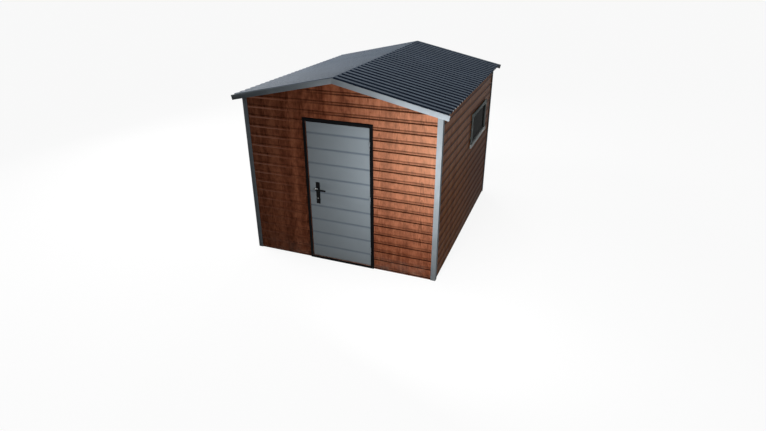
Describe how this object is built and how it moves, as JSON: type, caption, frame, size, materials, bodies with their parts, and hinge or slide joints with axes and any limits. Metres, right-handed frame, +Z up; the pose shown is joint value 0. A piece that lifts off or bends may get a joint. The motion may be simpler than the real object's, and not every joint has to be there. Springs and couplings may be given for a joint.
{
  "type": "gable roof garden shed",
  "caption": "Garden shed with ribbed wood-effect sheet walls on a square tube frame, a trapezoidal sheet gable roof, a hinged door with a lever handle and a side window.",
  "frame": {"origin": "on the ground, at the middle of the footprint", "axes": "+Z up, door in the wall that faces -Y, +X to the right seen from the front (towards the window wall), ridge along Y"},
  "size_m": [2.6852, 3.176, 2.385],
  "materials": {
    "cladding": "wood-effect printed coating, satin",
    "corner_trim": "grey polyester coating, satin",
    "barge_trim": "grey polyester coating, satin",
    "roofing": "graphite polyester coating, satin",
    "door_frame": "black powder coat",
    "door_leaf": "grey polyester coating, satin",
    "handle": "black moulded",
    "lock": "nickel plated",
    "hinge": "black powder coat",
    "casing": "grey polyester coating, satin",
    "window_frame": "dark grey coating",
    "glass": "dark tinted glass",
    "sill": "light grey coating",
    "frame": "grey primer",
    "door_lining": "brown coating"
  },
  "bodies": {
    "shed": {"front_wall_left": "cladding", "front_wall_right": "cladding", "front_wall_over_door": "cladding", "front_wall_sill": "cladding", "rear_wall": "cladding", "left_wall": "cladding", "right_wall_front": "cladding", "right_wall_rear": "cladding", "right_wall_below_window": "cladding", "right_wall_above_window": "cladding", "corner_trim_front_left": "corner_trim", "corner_trim_front_right": "corner_trim", "corner_trim_rear_left": "corner_trim", "corner_trim_rear_right": "corner_trim", "barge_trim_front_left": "barge_trim", "barge_trim_front_right": "barge_trim", "barge_trim_rear_left": "barge_trim", "barge_trim_rear_right": "barge_trim", "roof_sheet_left": "roofing", "roof_sheet_right": "roofing", "door_frame_left": "door_frame", "door_frame_right": "door_frame", "door_frame_top": "door_frame", "door_frame_bottom": "door_frame", "hinge_frame_halves": "hinge", "window_casing": "casing", "window_frame": "window_frame", "window_glass": "glass", "window_sill": "sill", "base_rails_side": "frame", "base_rails_end": "frame", "corner_posts": "frame", "wall_studs": "frame", "door_posts": "door_lining", "door_header": "door_lining", "window_rails": "frame", "eave_rails": "frame", "gable_rafters": "frame", "roof_purlins": "frame"},
    "door": {"door_leaf": "door_leaf", "handle_plates": "handle", "lock_cylinder": "lock", "hinge_leaf_halves": "hinge"},
    "lever": {"lever_spindle": "lock", "lever_grips": "handle"}
  },
  "joints": [
    {"name": "door_hinge", "type": "hinge", "parent": "shed", "child": "door", "pos_m": [0.4045, -1.511, 0.94], "axis": [0, 0, 1], "range_deg": [0, 165]},
    {"name": "lever_turn", "type": "hinge", "parent": "door", "child": "lever", "pos_m": [-0.2905, -1.5, 1.004], "axis": [0, 1, 0], "range_deg": [0, 40], "stiffness_Nm_per_rad": 1.2, "springref_deg": -20.05}
  ]
}
